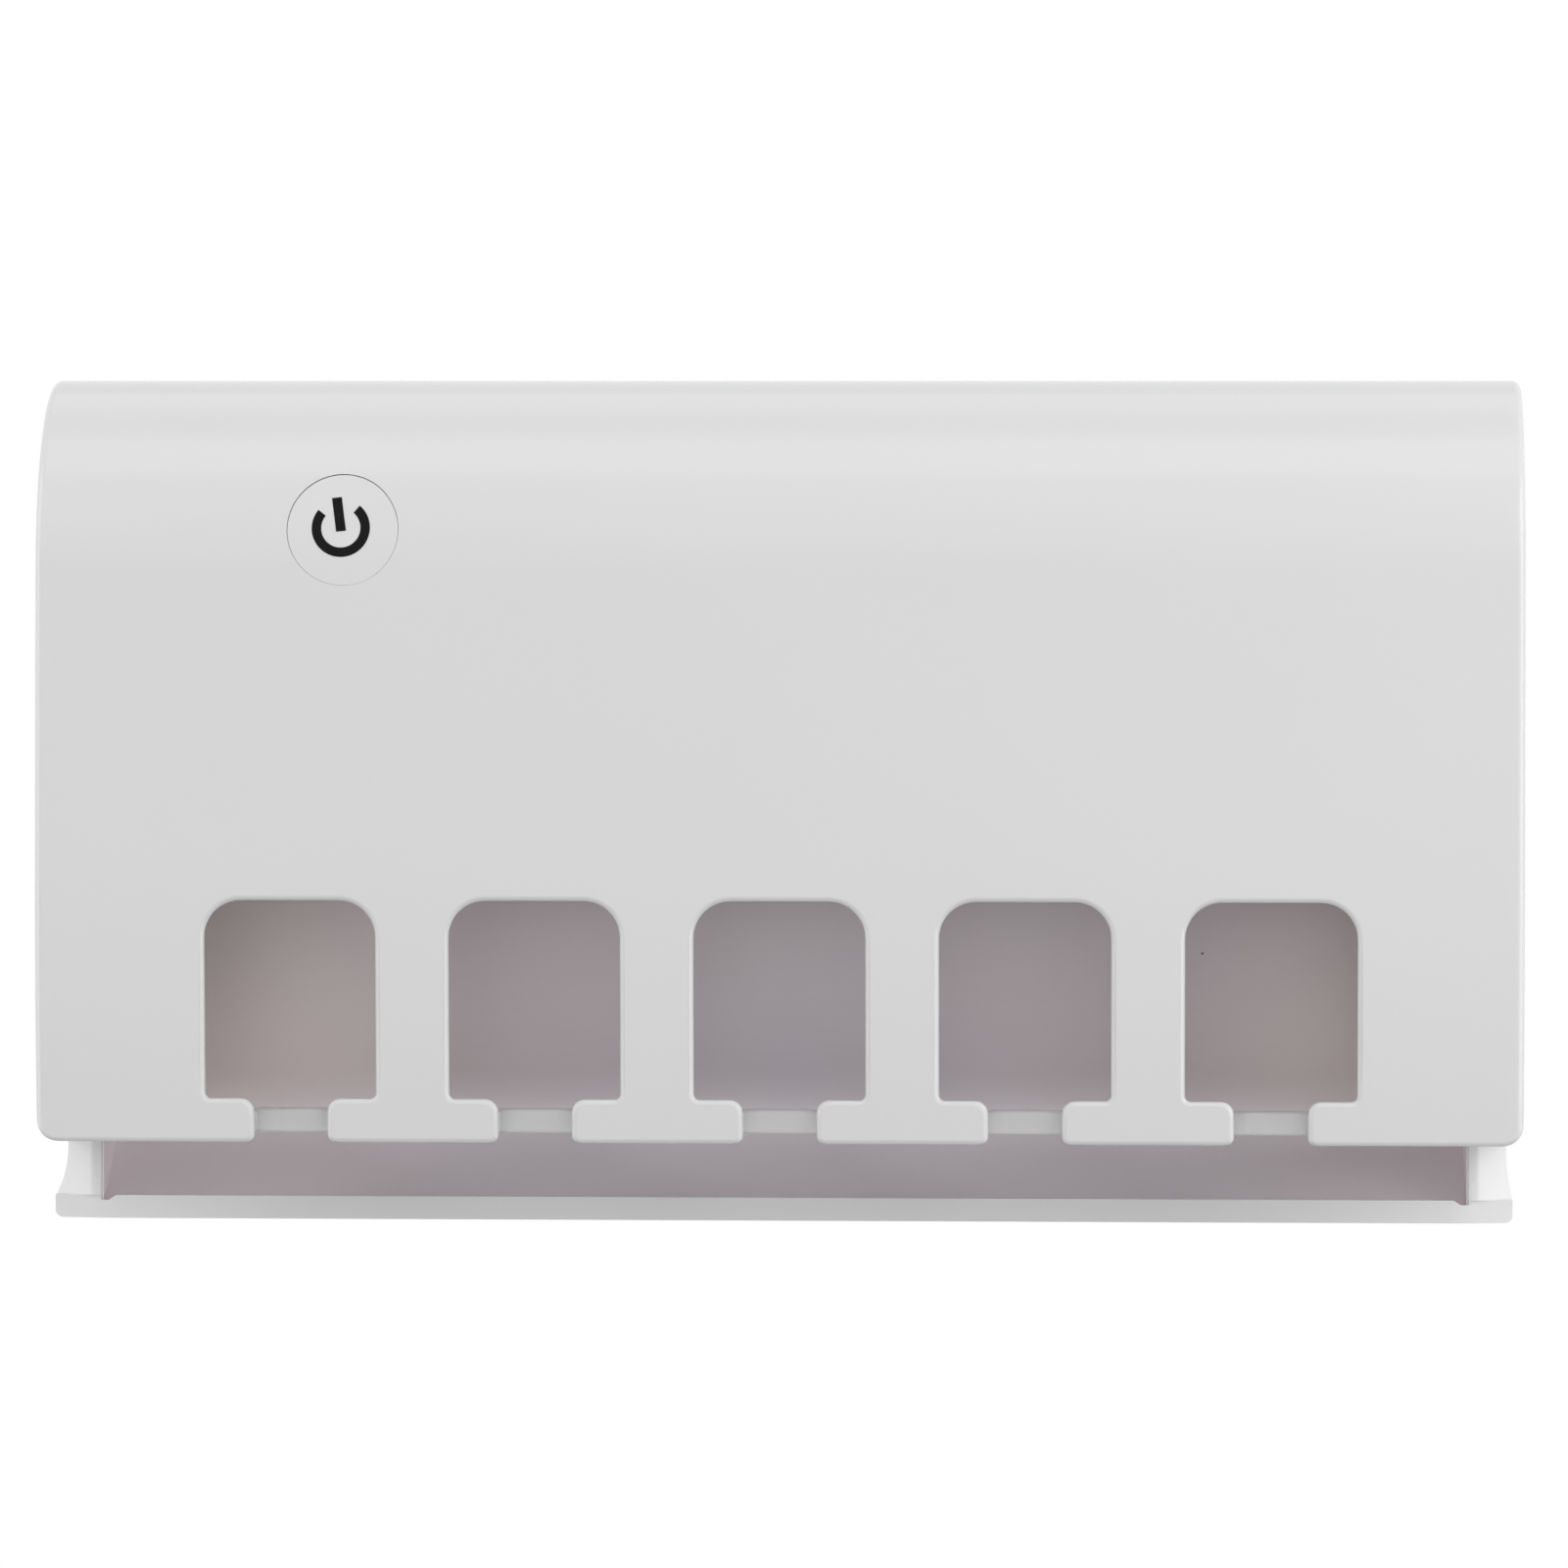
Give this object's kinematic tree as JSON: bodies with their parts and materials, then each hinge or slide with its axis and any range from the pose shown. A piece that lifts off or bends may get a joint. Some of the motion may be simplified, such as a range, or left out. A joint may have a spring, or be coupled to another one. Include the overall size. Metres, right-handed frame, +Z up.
{
  "type": "toothbrush sterilizer",
  "caption": "Wall-mounted toothbrush sterilizer: an arched white cover with round-topped brush windows, open necks and a power button, over a lipped wall tray.",
  "frame": {"origin": "on the wall plane, at the middle of the width and midway between the cover's top and the tray's underside", "axes": "+X to the viewer's right along the width, -Y out of the wall towards the viewer, +Z up"},
  "size_m": [0.25, 0.048, 0.143],
  "materials": {
    "white_shell": "moulded white, soft semi-gloss",
    "reflector": "satin mauve-grey sheet",
    "pad_foam": "closed-cell foam tape",
    "black_plastic": "black moulded plastic",
    "board_green": "green solder mask",
    "inlet_steel": "drawn and plated steel",
    "cell_wrap": "plain blue heat-shrink wrap",
    "strip_white": "white board and insulation",
    "lead_red": "red insulation",
    "screw_steel": "zinc-plated steel",
    "led_ceramic": "pale ceramic package",
    "lamp_glass": "clear, polished"
  },
  "bodies": {
    "tray": {"wall_tray": "white_shell", "adhesive_pad_left": "pad_foam", "adhesive_pad_right": "pad_foam", "reflector_panel": "reflector"},
    "unit": {"front_cover": "white_shell", "rear_housing": "white_shell", "switch_body": "black_plastic", "control_board": "board_green", "control_chip": "black_plastic", "charging_inlet": "inlet_steel", "inlet_tongue": "black_plastic", "battery_cell": "cell_wrap", "battery_cradle": "black_plastic", "battery_contact_left": "inlet_steel", "battery_contact_right": "inlet_steel", "lamp_strip": "strip_white", "lead_black": "black_plastic", "lead_red": "lead_red", "lamp_lead": "strip_white", "board_screw_1": "screw_steel", "board_screw_2": "screw_steel", "housing_screw_1": "screw_steel", "housing_screw_2": "screw_steel", "housing_screw_3": "screw_steel", "housing_screw_4": "screw_steel", "uv_led_1": "led_ceramic", "uv_led_2": "led_ceramic", "uv_led_3": "led_ceramic", "uv_led_4": "led_ceramic", "uv_led_5": "led_ceramic", "lamp_glass_1": "lamp_glass", "lamp_glass_2": "lamp_glass", "lamp_glass_3": "lamp_glass", "lamp_glass_4": "lamp_glass", "lamp_glass_5": "lamp_glass"},
    "button": {"power_button": "white_shell", "switch_plunger": "black_plastic"}
  },
  "joints": [
    {"name": "unit_lift", "type": "slide", "parent": "tray", "child": "unit", "axis": [0, 0, 1], "range_m": [0, 0.135]},
    {"name": "button_press", "type": "slide", "parent": "unit", "child": "button", "axis": [0, 1, 0], "range_m": [0, 0.001], "stiffness_N_per_m": 900}
  ]
}
